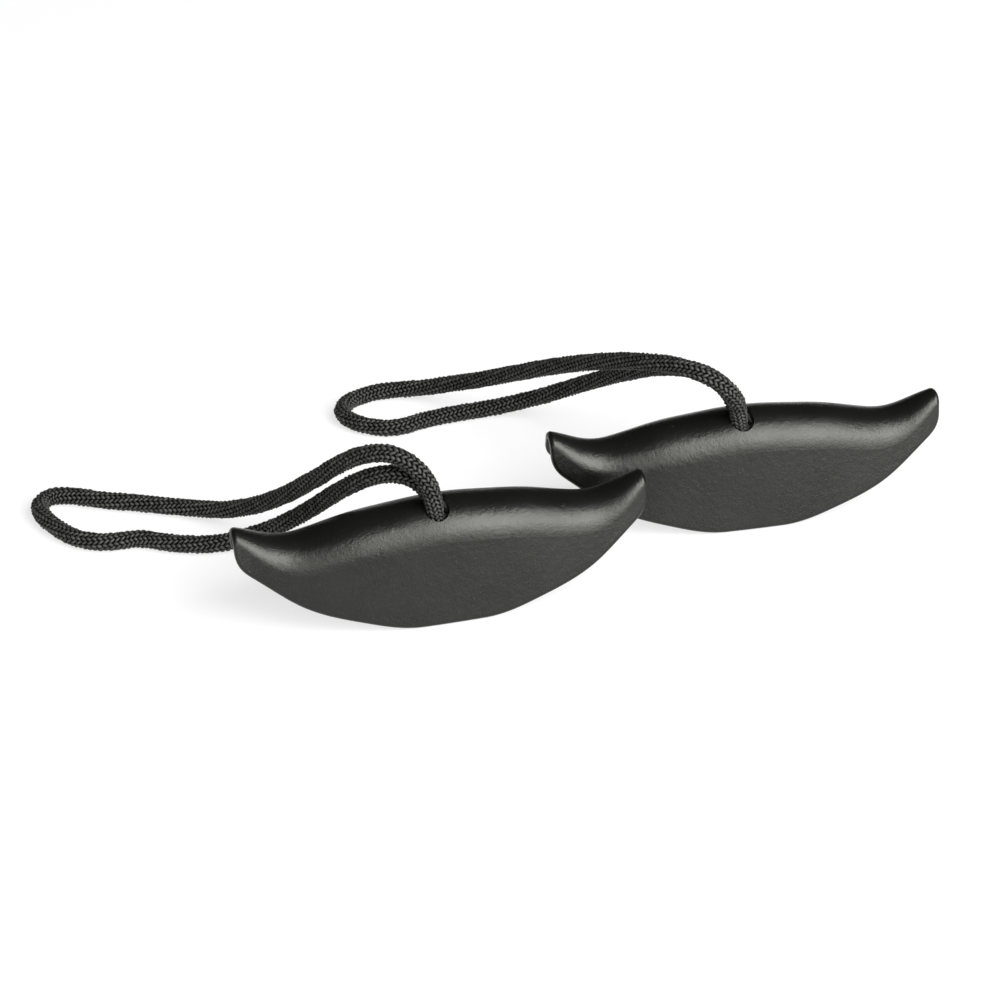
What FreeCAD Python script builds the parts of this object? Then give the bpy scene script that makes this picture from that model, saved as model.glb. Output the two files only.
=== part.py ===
import FreeCAD, Part
import math
import os

# A pair of moulded plastic saddle chocks, each with a loop of braided cord knotted through its crest.
# Millimetres, +Z up. The chocks stand on the plane z = 0, their long axes along X and their fronts to -Y.
# A shell is drawn about its own middle, at (0, 0), and then moved to its home.

V = FreeCAD.Vector

# --- driving dimensions of a shell ---
HALF_LENGTH = 77.5          # middle to the outermost point of a horn
WALL = 3.0                  # moulded wall thickness
RIM_ROUND = 1.6             # rounding of the rim's outer edge
RIM_EASE = 0.6              # rounding of its inner edge
CREST_RADIUS = 14.6         # outer radius of the roll over the middle
HORN_RADIUS = 5.0           # outer radius of the roll at the end of a horn
TAPER_POWER = 5.0           # how late the roll narrows towards the horns
FLAP_LEAN = 14.3            # degrees that a flap splays out from upright, in the middle
HORN_LEAN = 17.0            # the same at the horns
REST_LAND = 11.0            # half length of the straight stretch that a flap stands on
STATION_STEP = 7.0          # spacing of the cross sections along the shell
STATIONS = 12               # cross sections on each side of the middle one
BELOW = -8.0                # where the flaps end before the rim is cut
ABOVE = 60.0                # a height clear above the shell

# Height of the outer crest, at distances from the middle: a low hump, a dip, then the rising horn.
CREST_LINE = [(0, 41.8), (24, 39.9), (36, 38.1), (48, 35.3), (57, 34.2), (66, 36.3), (74, 40.3), (85, 43.4)]
# Side view of a flap's free edge, from the end of the rest land up to the nose of the horn.
RIM_LINE = [(REST_LAND, 0.0), (33, 4.4), (56, 13.1), (71, 24.0), (HALF_LENGTH, 34.2)]
NOSE_TOP = (76.5, 44.5)     # where the side view's outline leaves the shell over the horn

# --- the cord, its hole and its knot ---
CORD = 6.0                  # cord diameter
HOLE_WIDTH = 9.0            # oblong hole, along the shell
HOLE_LENGTH = 15.2          # oblong hole, over the roll
HOLE_X = -2.6               # the hole sits a little off the middle
HOLE_TILT = 11.0            # degrees that the hole's axis leans forward from upright
HOLE_INSIDE = 34.0          # a height inside the shell, under the hole and above the flaps
KNOT_SIZE = (17.0, 15.0, 13.0)
KNOT_MIDDLE = (-3.0, -2.6, 30.4)

# --- where the two chocks stand: x, y and turn in degrees ---
HOMES = [(-64.0, -15.0, 0.0), (64.0, 15.2, -2.8)]

# The loop of chock 1, from inside the hole out to the left along the ground and back.
ROUTE_1 = [
    (-67.0, -19.1, 33.0), (-67.2, -20.6, 43.0), (-69.5, -20.4, 52.5), (-74.5, -17.5, 59.5),
    (-82.0, -12.0, 62.5), (-90.5, -4.5, 58.5), (-98.0, 4.0, 50.0), (-105.5, 13.0, 39.0),
    (-113.5, 24.5, 27.0), (-122.5, 38.0, 15.0), (-134.0, 51.5, 6.0), (-148.0, 62.0, 3.2),
    (-163.0, 69.0, 3.2), (-178.0, 75.5, 3.2), (-189.5, 82.0, 3.2), (-197.0, 83.5, 3.2),
    (-202.5, 78.5, 3.2), (-202.0, 70.0, 3.2), (-197.0, 59.0, 3.2), (-190.0, 49.5, 3.2),
    (-179.5, 45.0, 3.2), (-168.0, 45.5, 3.2), (-156.0, 38.0, 3.2), (-141.0, 33.0, 3.2),
    (-126.5, 33.0, 5.0), (-114.5, 27.0, 12.5), (-106.0, 19.0, 22.5), (-99.5, 9.5, 33.5),
    (-93.0, 0.5, 43.5), (-85.0, -7.0, 50.5), (-76.5, -11.5, 52.0), (-69.5, -13.8, 47.0),
    (-67.0, -13.6, 40.0), (-67.0, -12.7, 33.0),
]
# The loop of chock 2, the same way round.
ROUTE_2 = [
    (60.3, 11.3, 33.0), (60.0, 9.9, 42.8), (57.5, 7.5, 51.5), (52.0, 7.0, 59.0), (44.5, 10.5, 63.5),
    (36.0, 19.5, 63.5), (27.0, 32.5, 59.0), (18.0, 49.5, 51.0), (8.0, 68.0, 40.5), (-2.5, 85.5, 29.5),
    (-14.5, 101.0, 19.0), (-27.0, 114.5, 10.5), (-40.0, 124.5, 4.5), (-53.0, 128.5, 3.2),
    (-65.0, 126.5, 3.2), (-73.0, 120.0, 3.2), (-73.5, 111.5, 3.2), (-66.5, 102.5, 3.2),
    (-55.0, 97.5, 3.2), (-42.5, 101.5, 3.2), (-28.0, 103.0, 3.2), (-13.0, 103.0, 3.4), (1.0, 99.5, 7.0),
    (12.5, 91.0, 14.5), (22.0, 79.0, 24.5), (30.5, 64.0, 35.5), (38.5, 48.0, 46.0), (46.5, 33.0, 53.0),
    (54.5, 22.5, 53.0), (60.0, 17.5, 46.0), (61.1, 16.8, 39.0), (61.05, 17.6, 33.0),
]


def blend(points, at):
    """Height on a smooth line through points, a list of (distance, height), at one distance."""
    for i in range(len(points) - 1):
        (x0, z0), (x1, z1) = points[i], points[i + 1]
        if at <= x1:
            break
    before = points[i - 1] if i else (-points[1][0], points[1][1])
    after = points[i + 2] if i + 2 < len(points) else (2 * x1 - x0, 2 * z1 - z0)
    slope0 = (z1 - before[1]) / (x1 - before[0])
    slope1 = (after[1] - z0) / (after[0] - x0)
    t = (at - x0) / (x1 - x0)
    return (z0 * (1 + 2 * t) * (1 - t) ** 2 + slope0 * (x1 - x0) * t * (1 - t) ** 2
            + z1 * t * t * (3 - 2 * t) + slope1 * (x1 - x0) * t * t * (t - 1))


def section(x, inset):
    """Closed cross section at station x: two leaning flaps joined by the roll, moved inwards by inset."""
    share = min(abs(x) / HALF_LENGTH, 1.0)
    outer = CREST_RADIUS + (HORN_RADIUS - CREST_RADIUS) * share ** TAPER_POWER
    lean = math.radians(FLAP_LEAN + (HORN_LEAN - FLAP_LEAN) * share ** 2)
    middle = blend(CREST_LINE, abs(x)) - outer
    radius = outer - inset
    side = radius * math.cos(lean)
    shoulder = middle + radius * math.sin(lean)
    foot = side + (shoulder - BELOW) * math.tan(lean)
    over = Part.Arc(V(x, -side, shoulder), V(x, 0, middle + radius), V(x, side, shoulder))
    edges = [
        Part.LineSegment(V(x, -foot, BELOW), V(x, -side, shoulder)).toShape(),
        over.toShape(),
        Part.LineSegment(V(x, side, shoulder), V(x, foot, BELOW)).toShape(),
        Part.LineSegment(V(x, foot, BELOW), V(x, -foot, BELOW)).toShape(),
    ]
    return Part.Wire(edges)


def body(inset):
    """Solid under the roll and between the flaps, before the rim is cut."""
    stations = range(-STATIONS, STATIONS + 1)
    return Part.makeLoft([section(i * STATION_STEP, inset) for i in stations], True, False)


def outline():
    """Side view of the shell, as a slab: all of it above the flaps' free edge."""
    depth = 2 * CREST_RADIUS + 20
    edges = [Part.LineSegment(V(-REST_LAND, 0, 0), V(REST_LAND, 0, 0)).toShape()]
    for hand in (1, -1):
        points = [V(hand * x, 0, z) for x, z in RIM_LINE]
        rim = Part.BSplineCurve()
        rim.interpolate(Points=points, InitialTangent=V(hand, 0, 0), FinalTangent=V(0, 0, 1))
        nose = Part.BSplineCurve()
        top = V(hand * NOSE_TOP[0], 0, NOSE_TOP[1])
        nose.interpolate(Points=[points[-1], top], InitialTangent=V(0, 0, 1), FinalTangent=V(-hand, 0, 0.9))
        edges += [rim.toShape(), nose.toShape()]
        edges.append(Part.LineSegment(top, V(top.x, 0, ABOVE)).toShape())
    edges.append(Part.LineSegment(V(-NOSE_TOP[0], 0, ABOVE), V(NOSE_TOP[0], 0, ABOVE)).toShape())
    wire = Part.Wire(Part.__sortEdges__(edges))
    slab = Part.Face(wire).extrude(V(0, depth, 0))
    slab.translate(V(0, -depth / 2, 0))
    return slab


def cord_hole():
    """Oblong cutter for the cord, from inside the roll up through it."""
    half = (HOLE_LENGTH - HOLE_WIDTH) / 2
    radius = HOLE_WIDTH / 2
    edges = [
        Part.LineSegment(V(radius, -half, 0), V(radius, half, 0)).toShape(),
        Part.Arc(V(radius, half, 0), V(0, half + radius, 0), V(-radius, half, 0)).toShape(),
        Part.LineSegment(V(-radius, half, 0), V(-radius, -half, 0)).toShape(),
        Part.Arc(V(-radius, -half, 0), V(0, -half - radius, 0), V(radius, -half, 0)).toShape(),
    ]
    middle = CREST_LINE[0][1] - CREST_RADIUS
    tool = Part.Face(Part.Wire(edges)).extrude(V(0, 0, ABOVE - HOLE_INSIDE))
    tool.translate(V(0, 0, HOLE_INSIDE - middle))
    tool.rotate(V(0, 0, 0), V(1, 0, 0), HOLE_TILT)
    tool.translate(V(HOLE_X, 0, middle))
    return tool


def rim_edges(shape, outer):
    """Edges that run along the cut rim, on its outer or its inner side."""
    skin = body(0).Shells[0]
    chosen = []
    for edge in shape.Edges:
        faces = shape.ancestorsOfType(edge, Part.Face)
        cut = [face for face in faces if is_rim_face(face)]
        middle = edge.valueAt((edge.FirstParameter + edge.LastParameter) / 2)
        on_skin = skin.distToShape(Part.Vertex(middle))[0] < WALL / 2
        if len(cut) == 1 and on_skin == outer:
            chosen.append(edge)
    return chosen


def is_rim_face(face):
    """True for a face whose normal has no part along Y: a face of the side view's slab."""
    u0, u1, v0, v1 = face.ParameterRange
    normals = [face.normalAt(u0 + s * (u1 - u0), v0 + t * (v1 - v0)) for s in (0.2, 0.7) for t in (0.3, 0.8)]
    return all(abs(normal.y) < 1e-4 for normal in normals) and face.BoundBox.XLength > 1.0


def make_shell():
    """One moulded shell at the middle of its own frame."""
    blank = body(0).cut(body(WALL)).common(outline())
    rounded = blank.makeFillet(RIM_ROUND, rim_edges(blank, True))
    eased = rounded.makeFillet(RIM_EASE, rim_edges(rounded, False))
    return eased.cut(cord_hole())


def tube(route, diameter):
    """Round tube along straight runs joined by tangent arcs as large as the runs allow."""
    points = [V(*p) for p in route]
    edges = []
    radii = []
    start = points[0]
    for i in range(1, len(points) - 1):
        back = points[i - 1] - points[i]
        ahead = points[i + 1] - points[i]
        cut = 0.45 * min(back.Length, ahead.Length)
        half_turn = (math.pi - back.getAngle(ahead)) / 2
        radii.append(cut / math.tan(half_turn))
        back.normalize()
        ahead.normalize()
        enter = points[i] + back * cut
        leave = points[i] + ahead * cut
        inward = back + ahead
        inward.normalize()
        gap = radii[-1] / math.cos(half_turn) - radii[-1]
        edges.append(Part.LineSegment(start, enter).toShape())
        edges.append(Part.Arc(enter, points[i] + inward * gap, leave).toShape())
        start = leave
    edges.append(Part.LineSegment(start, points[-1]).toShape())
    path = Part.Wire(edges)
    first = points[1] - points[0]
    profile = Part.Wire(Part.makeCircle(diameter / 2, points[0], first))
    solid = path.makePipeShell([profile], True, False)
    share = solid.Volume / (math.pi * diameter ** 2 / 4 * path.Length)
    print("cord length %.1f mm, volume share %.4f" % (path.Length, share))
    print("  bend radii", " ".join("%.0f" % r for r in radii))
    return solid


def make_knot():
    """Stop knot in the cord's two ends, as a plain rounded lump."""
    lump = Part.makeSphere(0.5)
    stretch = FreeCAD.Matrix()
    stretch.scale(V(*KNOT_SIZE))
    lump = lump.transformGeometry(stretch)
    lump.translate(V(*KNOT_MIDDLE))
    return lump


def at_home(shape, home):
    """Turn a shape about Z and move it to where its chock stands."""
    x, y, turn = home
    moved = shape.copy()
    moved.rotate(V(0, 0, 0), V(0, 0, 1), turn)
    moved.translate(V(x, y, 0))
    return moved


def save(name, shape):
    box = shape.BoundBox
    print("%-16s valid %s volume %.0f x %.1f..%.1f y %.1f..%.1f z %.1f..%.1f" % (
        name, shape.isValid(), shape.Volume, box.XMin, box.XMax, box.YMin, box.YMax, box.ZMin, box.ZMax))
    shape.exportStep("parts/%s.step" % name)


os.makedirs("parts", exist_ok=True)
shell = make_shell()
knot = make_knot()
for number, (home, route) in enumerate(zip(HOMES, (ROUTE_1, ROUTE_2)), start=1):
    save("chock_%d_shell" % number, at_home(shell, home))
    save("chock_%d_knot" % number, at_home(knot, home))
    save("chock_%d_cord" % number, tube(route, CORD))
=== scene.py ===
import math

import bpy
import numpy as np
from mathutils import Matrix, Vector


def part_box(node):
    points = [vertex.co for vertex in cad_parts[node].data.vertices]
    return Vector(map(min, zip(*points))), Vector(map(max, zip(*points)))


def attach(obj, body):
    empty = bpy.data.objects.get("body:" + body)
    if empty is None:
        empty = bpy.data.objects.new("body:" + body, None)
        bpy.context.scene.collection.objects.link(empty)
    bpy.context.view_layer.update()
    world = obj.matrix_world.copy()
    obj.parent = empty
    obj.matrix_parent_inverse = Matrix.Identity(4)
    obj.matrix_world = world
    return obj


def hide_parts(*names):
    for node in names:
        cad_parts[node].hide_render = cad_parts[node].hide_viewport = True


# A pair of moulded black saddle chocks with knitted pull cords, on a pale floor under studio softboxes.
# Metres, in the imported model's frame: +X along the chocks, -Y towards their fronts, +Z up.

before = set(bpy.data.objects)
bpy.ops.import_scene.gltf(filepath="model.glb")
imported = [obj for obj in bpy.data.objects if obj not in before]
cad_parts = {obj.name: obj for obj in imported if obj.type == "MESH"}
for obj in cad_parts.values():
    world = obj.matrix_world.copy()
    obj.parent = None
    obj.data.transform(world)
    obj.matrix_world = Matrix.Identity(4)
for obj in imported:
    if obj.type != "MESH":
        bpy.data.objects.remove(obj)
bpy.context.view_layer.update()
scene = bpy.context.scene

MM = 0.001

# --- the cords ---
CORD = 6.0 * MM             # diameter of the cord
WALES = 6                   # columns of stitches round the cord
STITCH = 1.95 * MM          # length of one stitch along the cord
STITCH_HEIGHT = 1.15 * MM   # how far a yarn stands out of the gaps beside it
MEAN_RELIEF = 0.42          # part of that height at which the surface has the cord's own diameter
TWIST = 7.0                 # turns of the whole knit in a metre
SKEW = 0.55                 # how far a leg of a stitch leans along the cord, in stitches
STAGGER = 0.3               # how far one leg of a stitch starts behind the other, in stitches
SIDE_FALL = 2.6             # how steeply a yarn falls away sideways; at 4 it ends where the next begins
END_FALL = 4.0              # the same along the cord
UNEVEN = 0.28               # part of its height that a yarn may lack
ROUND_STEPS = 84            # mesh points round the cord
STITCH_STEPS = 8            # mesh points along one stitch
KNOT_STEPS = 120            # points along a knot's line
LINE_STEPS = 24             # points along a route's line for each of its own points

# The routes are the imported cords' own points, in millimetres.
ROUTES = {
    "chock_1": [
        (-67.0, -19.1, 33.0), (-67.2, -20.6, 43.0), (-69.5, -20.4, 52.5), (-74.5, -17.5, 59.5),
        (-82.0, -12.0, 62.5), (-90.5, -4.5, 58.5), (-98.0, 4.0, 50.0), (-105.5, 13.0, 39.0),
        (-113.5, 24.5, 27.0), (-122.5, 38.0, 15.0), (-134.0, 51.5, 6.0), (-148.0, 62.0, 3.2),
        (-163.0, 69.0, 3.2), (-178.0, 75.5, 3.2), (-189.5, 82.0, 3.2), (-197.0, 83.5, 3.2),
        (-202.5, 78.5, 3.2), (-202.0, 70.0, 3.2), (-197.0, 59.0, 3.2), (-190.0, 49.5, 3.2),
        (-179.5, 45.0, 3.2), (-168.0, 45.5, 3.2), (-156.0, 38.0, 3.2), (-141.0, 33.0, 3.2),
        (-126.5, 33.0, 5.0), (-114.5, 27.0, 12.5), (-106.0, 19.0, 22.5), (-99.5, 9.5, 33.5),
        (-93.0, 0.5, 43.5), (-85.0, -7.0, 50.5), (-76.5, -11.5, 52.0), (-69.5, -13.8, 47.0),
        (-67.0, -13.6, 40.0), (-67.0, -12.7, 33.0),
    ],
    "chock_2": [
        (60.3, 11.3, 33.0), (60.0, 9.9, 42.8), (57.5, 7.5, 51.5), (52.0, 7.0, 59.0), (44.5, 10.5, 63.5),
        (36.0, 19.5, 63.5), (27.0, 32.5, 59.0), (18.0, 49.5, 51.0), (8.0, 68.0, 40.5),
        (-2.5, 85.5, 29.5), (-14.5, 101.0, 19.0), (-27.0, 114.5, 10.5), (-40.0, 124.5, 4.5),
        (-53.0, 128.5, 3.2), (-65.0, 126.5, 3.2), (-73.0, 120.0, 3.2), (-73.5, 111.5, 3.2),
        (-66.5, 102.5, 3.2), (-55.0, 97.5, 3.2), (-42.5, 101.5, 3.2), (-28.0, 103.0, 3.2),
        (-13.0, 103.0, 3.4), (1.0, 99.5, 7.0), (12.5, 91.0, 14.5), (22.0, 79.0, 24.5),
        (30.5, 64.0, 35.5), (38.5, 48.0, 46.0), (46.5, 33.0, 53.0), (54.5, 22.5, 53.0),
        (60.0, 17.5, 46.0), (61.1, 16.8, 39.0), (61.05, 17.6, 33.0),
    ],
}

# --- surfaces, with colours in linear RGB ---
PLASTIC = (0.0045, 0.0046, 0.0040)
PLASTIC_RUBBED = (0.020, 0.020, 0.019)
PLASTIC_ROUGHNESS = 0.30
GLOSS_SWING = 0.05          # how far the roughness strays from that
PLASTIC_SPECULAR = 0.36
PLASTIC_TINT = (1.0, 1.0, 0.94)
CLOUDS = 60                 # patches in a metre where the gloss comes and goes
GRAIN = 1500                # the same for the finest grain
PEBBLES = 420               # the same for the coarser grain and the rub marks
RUB_START = 0.66            # level of the rub marks' noise where they begin
RUB_FULL = 0.74             # the level where they are at their palest
YARN = (0.034, 0.036, 0.030)
# painted shade: the cord's colour down in the gaps between stitches, where shade falls
YARN_GAP_PAINTED_SHADE = (0.001, 0.001, 0.001)
YARN_ROUGHNESS = 0.55
YARN_SPECULAR = 0.5
YARN_SHEEN = 0.05
SHEEN_ROUGHNESS = 0.4
FIBRES = 5000               # patches of loose fibre in a metre
FLOOR_WHITE = (0.24, 0.24, 0.24)
FLOOR_ROUGHNESS = 0.9
FLOOR_GLOW = 0.72           # a table lit from below as well, so shadows stay pale
FLOOR_SIZE = 9.0
FLOOR_HEIGHT = -0.0004      # under the lowest stitches

# --- camera and light ---
CAMERA_AT = (-0.2600, -0.8287, 0.5841)
CAMERA_AIM = (-0.0267, 0.0400, 0.0)
CAMERA_LENS = 98.4          # millimetres, on the sensor below
CAMERA_SENSOR = 36.0
LIGHTS_AIM = (-0.03, 0.0, 0.03)
# Each softbox: where it stands, its width and height, and its power in watts.
SOFTBOXES = {
    "key": ((1.231, -1.602, 2.231), (2.2, 1.95), 136),
    "side": ((1.403, -2.404, 1.111), (2.5, 1.85), 84),
    "left": ((-1.649, -2.455, 0.623), (0.9, 0.9), 24),
    "fill": ((-0.217, -2.306, 1.94), (1.2, 2.8), 31),
}
WORLD_STRENGTH = 0.03


# --- materials ---
def new_material(name, color, roughness):
    """A material and its Principled shader."""
    material = bpy.data.materials.new(name)
    material.use_nodes = True
    shader = material.node_tree.nodes["Principled BSDF"]
    shader.inputs["Base Color"].default_value = (*color, 1.0)
    shader.inputs["Roughness"].default_value = roughness
    return material, shader


def node(material, kind, **values):
    """A new node; a value named after an input is its default, and any other is set on the node."""
    made = material.node_tree.nodes.new(kind)
    for name, value in values.items():
        plug = made.inputs.get(name.replace("_", " "))
        if plug is None:
            setattr(made, name, value)
        else:
            plug.default_value = value
    return made


def link(material, source, target):
    """A link between two sockets."""
    material.node_tree.links.new(source, target)


def noise(material, scale, detail, rough):
    """Noise in the object's own metres, in patches about 1/scale across."""
    where = node(material, "ShaderNodeTexCoord")
    made = node(material, "ShaderNodeTexNoise", Scale=scale, Detail=detail, Roughness=rough)
    link(material, where.outputs["Object"], made.inputs["Vector"])
    return made.outputs["Fac"]


def spread(material, source, low, high, to_low, to_high):
    """Maps source from low..high to to_low..to_high, and holds it there."""
    made = node(material, "ShaderNodeMapRange")
    for name, value in (("From Min", low), ("From Max", high), ("To Min", to_low), ("To Max", to_high)):
        made.inputs[name].default_value = value
    link(material, source, made.inputs["Value"])
    return made.outputs["Result"]


def mix(material, factor, low, high):
    """A colour between low and high."""
    made = node(material, "ShaderNodeMix", data_type="RGBA")
    made.inputs["A"].default_value = (*low, 1.0)
    made.inputs["B"].default_value = (*high, 1.0)
    link(material, factor, made.inputs["Factor"])
    return made.outputs["Result"]


def bump(material, source, strength, distance, under=None):
    """A bump from source, on top of another bump if one is given."""
    made = node(material, "ShaderNodeBump", Strength=strength, Distance=distance)
    link(material, source, made.inputs["Height"])
    if under is not None:
        link(material, under, made.inputs["Normal"])
    return made.outputs["Normal"]


def shell_plastic():
    """Black moulded plastic: a fine eggshell grain, cloudy gloss and a few pale rub marks."""
    material, shader = new_material("shell_plastic", PLASTIC, PLASTIC_ROUGHNESS)
    grain = noise(material, GRAIN, 3.0, 0.6)
    cloud = noise(material, CLOUDS, 3.0, 0.5)
    rub = noise(material, PEBBLES, 4.0, 0.65)
    pebble = noise(material, PEBBLES, 4.0, 0.6)
    rubbed = spread(material, rub, RUB_START, RUB_FULL, 0.0, 1.0)
    link(material, mix(material, rubbed, PLASTIC, PLASTIC_RUBBED), shader.inputs["Base Color"])
    glossiest, dullest = PLASTIC_ROUGHNESS - GLOSS_SWING, PLASTIC_ROUGHNESS + GLOSS_SWING
    gloss = spread(material, cloud, 0.3, 0.7, glossiest, dullest)
    link(material, gloss, shader.inputs["Roughness"])
    shader.inputs["Specular IOR Level"].default_value = PLASTIC_SPECULAR
    shader.inputs["Specular Tint"].default_value = (*PLASTIC_TINT, 1.0)
    under = bump(material, pebble, 0.5, 0.3 * MM)
    link(material, bump(material, grain, 0.45, 0.2 * MM, under), shader.inputs["Normal"])
    return material


def knitted_yarn():
    """Black polyester yarn: dull, with painted shade down between the stitches, a soft sheen and fine
    fibres.
    """
    material, shader = new_material("braided_cord", YARN, YARN_ROUGHNESS)
    height = node(material, "ShaderNodeAttribute", attribute_name="relief").outputs["Fac"]
    # painted shade: the colour darkens from the yarn's own to the gap colour where the relief is low, in
    # the gaps between stitches
    clear_of_gap_shade = spread(material, height, 0.35, 0.95, 0.0, 1.0)
    link(material, mix(material, clear_of_gap_shade, YARN_GAP_PAINTED_SHADE, YARN), shader.inputs["Base Color"])
    shine = spread(material, height, 0.30, 0.80, 0.0, YARN_SPECULAR)
    link(material, shine, shader.inputs["Specular IOR Level"])
    shader.inputs["Sheen Weight"].default_value = YARN_SHEEN
    shader.inputs["Sheen Roughness"].default_value = SHEEN_ROUGHNESS
    fibre = noise(material, FIBRES, 2.0, 0.6)
    link(material, bump(material, fibre, 0.3, 0.1 * MM), shader.inputs["Normal"])
    return material


def floor_paper():
    """Matt white that glows a little."""
    material, shader = new_material("floor_white", FLOOR_WHITE, FLOOR_ROUGHNESS)
    shader.inputs["Emission Color"].default_value = (1, 1, 1, 1)
    shader.inputs["Emission Strength"].default_value = FLOOR_GLOW
    return material


# --- pieces ---
def centreline(name, route):
    """Points along the route's NURBS spline."""
    curve = bpy.data.curves.new(name + "_line", "CURVE")
    curve.dimensions = "3D"
    curve.resolution_u = LINE_STEPS
    spline = curve.splines.new("NURBS")
    spline.points.add(len(route) - 1)
    for point, place in zip(spline.points, route):
        point.co = (*(Vector(place) * MM), 1.0)
    spline.order_u = 3
    spline.use_endpoint_u = True
    holder = bpy.data.objects.new(curve.name, curve)
    mesh = bpy.data.meshes.new_from_object(holder)
    points = np.array([v.co for v in mesh.vertices])
    bpy.data.objects.remove(holder)
    bpy.data.meshes.remove(mesh)
    return points


def evenly(points, step):
    """The same line with points a whole number of equal steps apart, about step long."""
    along = np.concatenate([[0], np.cumsum(np.linalg.norm(np.diff(points, axis=0), axis=1))])
    places = np.linspace(0, along[-1], round(along[-1] / step) + 1)
    return np.column_stack([np.interp(places, along, points[:, k]) for k in range(3)]), places


def carried_frames(line):
    """Two crosswise directions at each point of a line, carried along it without twist."""
    tangents = np.gradient(line, axis=0)
    tangents /= np.linalg.norm(tangents, axis=1)[:, None]
    side = np.cross(tangents[0], (0.0, 1.0, 0.0))
    sides = []
    for tangent in tangents:
        side = side - tangent * side.dot(tangent)
        side /= np.linalg.norm(side)
        sides.append(side)
    sides = np.array(sides)
    return sides, np.cross(tangents, sides)


def scatter(row, column):
    """A number from 0 to 1 that differs from stitch to stitch, always the same for the same stitch."""
    return (np.sin(row * 12.99 + column * 78.23) * 437.58) % 1.0


def stitch_relief(turn, along):
    """Height of the knitted surface, 0 to 1. turn counts wales round the cord and along counts stitches.
    Each wale is a chain of V stitches: two fat yarns side by side that lean opposite ways."""
    leg = np.floor(turn * 2) % (2 * WALES)
    right = leg % 2
    half = (turn * 2) % 1.0 - 0.5
    lean = np.where(right < 1, SKEW, -SKEW)
    place = along + lean * half + STAGGER * right
    row = place % 1.0 - 0.5
    height = np.sqrt(np.clip(1 - SIDE_FALL * half ** 2 - END_FALL * row ** 2, 0, 1))
    return height * (1 - UNEVEN + UNEVEN * scatter(np.floor(place), leg))


def tube_faces(rings):
    """Faces of a closed tube of so many rings of ROUND_STEPS points, with an end face at each end."""
    faces = []
    for i in range(rings - 1):
        here, there = i * ROUND_STEPS, (i + 1) * ROUND_STEPS
        for j in range(ROUND_STEPS):
            k = (j + 1) % ROUND_STEPS
            faces.append((here + j, here + k, there + k, there + j))
    faces.append(tuple(reversed(range(ROUND_STEPS))))
    faces.append(tuple(range((rings - 1) * ROUND_STEPS, rings * ROUND_STEPS)))
    return faces


def knitted_tube(name, points, material):
    """A knitted cord along a line of points, as one closed mesh, with its line and length."""
    line, places = evenly(points, STITCH / STITCH_STEPS)
    sides, ups = carried_frames(line)
    turns = np.arange(ROUND_STEPS) / ROUND_STEPS
    relief = stitch_relief((turns[None] + TWIST * places[:, None]) * WALES, places[:, None] / STITCH)
    radius = CORD / 2 + STITCH_HEIGHT * (relief - MEAN_RELIEF)
    angles = turns * 2 * math.pi
    out = sides[:, None] * np.cos(angles)[None, :, None] + ups[:, None] * np.sin(angles)[None, :, None]
    skin = (line[:, None] + out * radius[..., None]).reshape(-1, 3)
    mesh = bpy.data.meshes.new(name)
    mesh.from_pydata(skin.tolist(), [], tube_faces(len(line)))
    mesh.shade_smooth()
    mesh.attributes.new("relief", "FLOAT", "POINT").data.foreach_set("value", relief.ravel())
    mesh.materials.append(material)
    cord = bpy.data.objects.new(name, mesh)
    scene.collection.objects.link(cord)
    return cord, line, places[-1]


def knot_line(middle, size):
    """A tight overhand knot's line, a trefoil, that fills a box with the cord's own thickness round it."""
    turns = np.linspace(0, 2 * math.pi, KNOT_STEPS)
    line = np.column_stack([np.sin(turns) + 2 * np.sin(2 * turns), np.cos(turns) - 2 * np.cos(2 * turns),
                            -np.sin(3 * turns)])
    reach = np.abs(line).max(axis=0)
    return np.array(middle) + line * (np.array(size) - CORD) / 2 / reach


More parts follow.
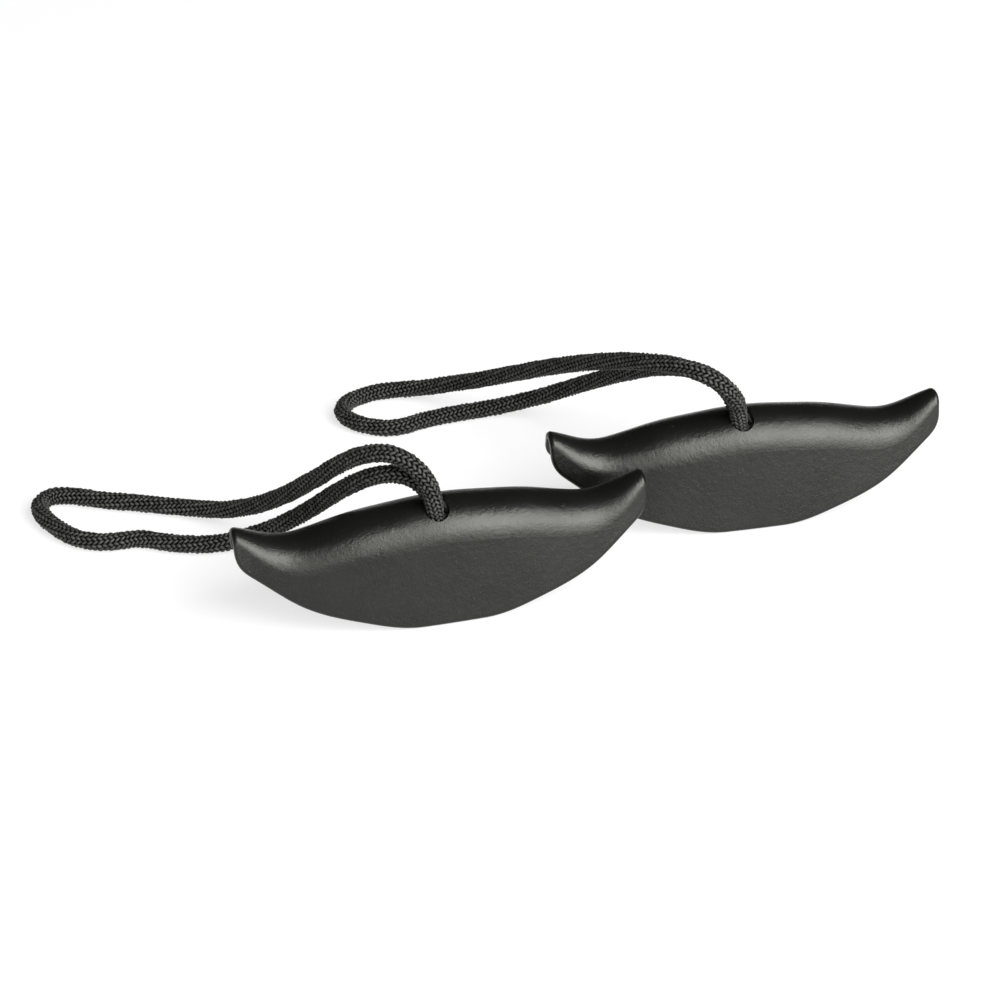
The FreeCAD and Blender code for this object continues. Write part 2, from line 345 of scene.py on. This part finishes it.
def stop_knot(body, material):
    """The knot in a cord's two ends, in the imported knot's place."""
    low, high = (np.array(corner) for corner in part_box(body + "_knot"))
    knot = knitted_tube(body + "_stop_knot", knot_line((low + high) / 2, high - low), material)[0]
    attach(knot, body)
    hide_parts(body + "_knot")
    return knot


def pull_cord(body, route, material):
    """The loop of cord along its route, from the knot out through the hole and back."""
    cord, line, length = knitted_tube(body + "_braid", centreline(body, route), material)
    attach(cord, body)
    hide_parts(body + "_cord")


# --- floor, light and camera ---
def add_floor():
    """A pale floor that isn't part of the object."""
    bpy.ops.mesh.primitive_plane_add(size=FLOOR_SIZE, location=(0, 0, FLOOR_HEIGHT))
    floor = bpy.context.object
    floor.name = "floor"
    floor.data.materials.append(floor_paper())


def turned_to(place, aim):
    """The rotation of a light or camera that looks from a place at another."""
    return (Vector(aim) - Vector(place)).to_track_quat("-Z", "Y").to_euler()


def add_softbox(name, place, size, power):
    """A rectangular area light that faces the object."""
    light = bpy.data.lights.new(name, "AREA")
    light.shape = "RECTANGLE"
    light.size, light.size_y = size
    light.energy = power
    holder = bpy.data.objects.new(name, light)
    scene.collection.objects.link(holder)
    holder.location = place
    holder.rotation_euler = turned_to(place, LIGHTS_AIM)


def add_world():
    """A dim white room around the studio."""
    world = bpy.data.worlds.new("studio")
    world.use_nodes = True
    background = world.node_tree.nodes["Background"]
    background.inputs["Color"].default_value = (1, 1, 1, 1)
    background.inputs["Strength"].default_value = WORLD_STRENGTH
    scene.world = world


def add_camera():
    """The camera, at the object's own three-quarter view from the left and above."""
    camera = bpy.data.objects.new("camera", bpy.data.cameras.new("camera"))
    scene.collection.objects.link(camera)
    camera.location = CAMERA_AT
    camera.rotation_euler = turned_to(CAMERA_AT, CAMERA_AIM)
    camera.data.lens = CAMERA_LENS
    camera.data.sensor_width = CAMERA_SENSOR
    scene.camera = camera
    scene.view_settings.view_transform = "Standard"


# --- the whole ---
plastic = shell_plastic()
yarn = knitted_yarn()
for body, route in ROUTES.items():
    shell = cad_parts[body + "_shell"]
    shell.data.materials.clear()
    shell.data.materials.append(plastic)
    knot = stop_knot(body, yarn)
    pull_cord(body, route, yarn)
add_floor()
for name, (place, size, power) in SOFTBOXES.items():
    add_softbox(name, place, size, power)
add_world()
add_camera()
